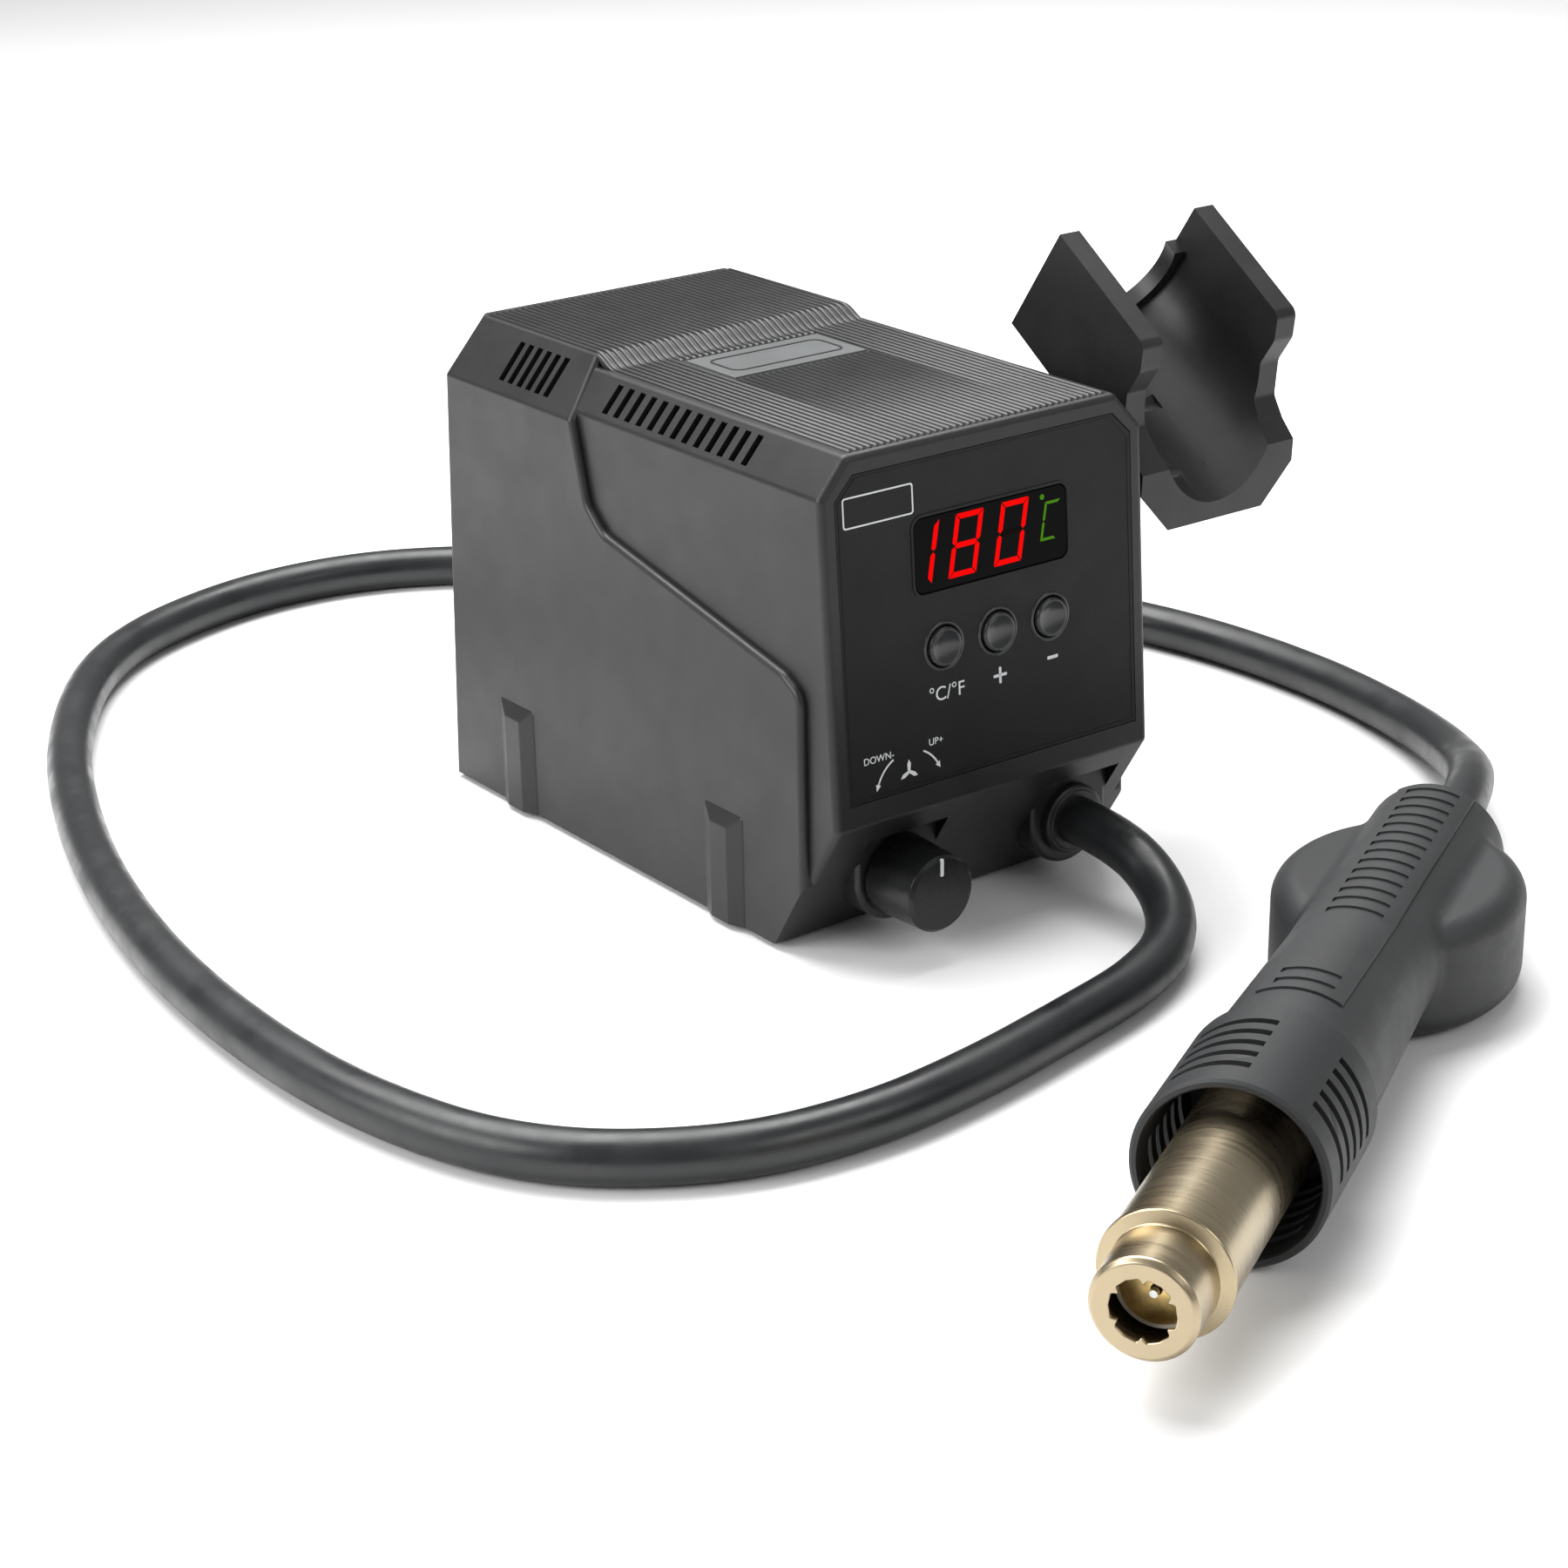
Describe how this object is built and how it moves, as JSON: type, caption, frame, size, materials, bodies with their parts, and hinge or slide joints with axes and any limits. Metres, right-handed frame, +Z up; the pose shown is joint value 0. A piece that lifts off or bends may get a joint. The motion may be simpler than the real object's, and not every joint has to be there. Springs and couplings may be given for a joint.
{
  "type": "hot air rework station",
  "caption": "Bench hot air station: a box-shaped control base with display, buttons, knob and side cradle, and a handpiece with its own blower on a loose hose.",
  "frame": {"origin": "on the bench, under the middle of the box that holds the base, cradle and handpiece (without the hose)", "axes": "+Z up, -Y out of the front face, +X towards the cradle's side"},
  "size_m": [0.3719, 0.5362, 0.1596],
  "materials": {
    "dark_plastic": "fine grain",
    "panel_grey": "satin film",
    "smoked_window": "gloss",
    "display": "matt",
    "board": "solder mask",
    "button_grey": "satin",
    "tact": "matt",
    "rubber_black": "matt",
    "hose_black": "soft sheen",
    "steel": "satin",
    "zinc_steel": "plated",
    "brass": "satin",
    "barrel_steel": "brushed",
    "mica": "layered",
    "ceramic": "matt",
    "heater_wire": "oxidised",
    "gold_disc": "satin",
    "copper": "enamelled",
    "aluminium": "extruded",
    "can": "sleeve",
    "magnet": "plated",
    "badge": "satin film",
    "rocker_plastic": "gloss"
  },
  "bodies": {
    "base": {"base_cover": "dark_plastic", "front_panel": "panel_grey", "display_window": "smoked_window", "display_module": "display", "control_board": "board", "board_screws": "steel", "tact_switches": "tact", "airflow_pot": "steel", "pot_nut": "brass", "hose_gland": "dark_plastic", "gland_nut": "dark_plastic", "chassis_plate": "zinc_steel", "chassis_screws": "steel", "rubber_feet": "rubber_black", "transformer_core": "zinc_steel", "transformer_coil": "copper", "power_board": "board", "board_standoffs": "brass", "triac_heatsink": "aluminium", "capacitors": "can", "mains_inlet": "rocker_plastic", "inlet_pins": "brass", "inlet_screws": "steel", "switch_frame": "rocker_plastic", "cradle": "dark_plastic", "cradle_screws": "steel", "holder_magnet": "magnet", "top_badge": "badge", "air_hose": "hose_black"},
    "button_unit": {"button_unit": "button_grey"},
    "button_plus": {"button_plus": "button_grey"},
    "button_minus": {"button_minus": "button_grey"},
    "knob": {"airflow_knob": "dark_plastic", "pot_shaft": "steel"},
    "rocker": {"power_rocker": "rocker_plastic"},
    "handpiece": {"nozzle_tube": "barrel_steel", "mica_sleeve": "mica", "heater_former": "ceramic", "heater_coil": "heater_wire", "heater_disc": "gold_disc", "heater_bush": "ceramic", "thermocouple": "steel", "guard_collar": "dark_plastic", "handle_upper": "dark_plastic", "handle_lower": "dark_plastic", "handle_screws": "steel", "grip_strip": "panel_grey", "blower_case": "dark_plastic", "blower_motor": "steel", "reed_switch": "board", "hose_collar": "rubber_black"},
    "impeller": {"impeller": "tact"}
  },
  "joints": [
    {"name": "knob_turn", "type": "hinge", "parent": "base", "child": "knob", "pos_m": [-0.0137, 0.0114, 0.018], "axis": [0, -1, 0], "range_deg": [-140, 140]},
    {"name": "button_unit_press", "type": "slide", "parent": "base", "child": "button_unit", "axis": [0, 0.9982, -0.0605], "range_m": [0, 0.0008], "stiffness_N_per_m": 900, "springref_m": -0.0008},
    {"name": "button_plus_press", "type": "slide", "parent": "base", "child": "button_plus", "axis": [0, 0.9982, -0.0605], "range_m": [0, 0.0008], "stiffness_N_per_m": 900, "springref_m": -0.0008},
    {"name": "button_minus_press", "type": "slide", "parent": "base", "child": "button_minus", "axis": [0, 0.9982, -0.0605], "range_m": [0, 0.0008], "stiffness_N_per_m": 900, "springref_m": -0.0008},
    {"name": "power_switch", "type": "hinge", "parent": "base", "child": "rocker", "pos_m": [0.033, 0.17832, 0.0328], "axis": [1, 0, 0], "range_deg": [0, 16]},
    {"name": "handpiece_lift", "type": "slide", "parent": "base", "child": "handpiece", "axis": [0, 0, 1], "range_m": [0, 0.04], "deforming": ["air_hose"]},
    {"name": "impeller_spin", "type": "hinge", "parent": "handpiece", "child": "impeller", "pos_m": [0.06323, -0.07425, 0.01377], "axis": [0.0131, 0.0076, 0.9999], "continuous": true}
  ]
}
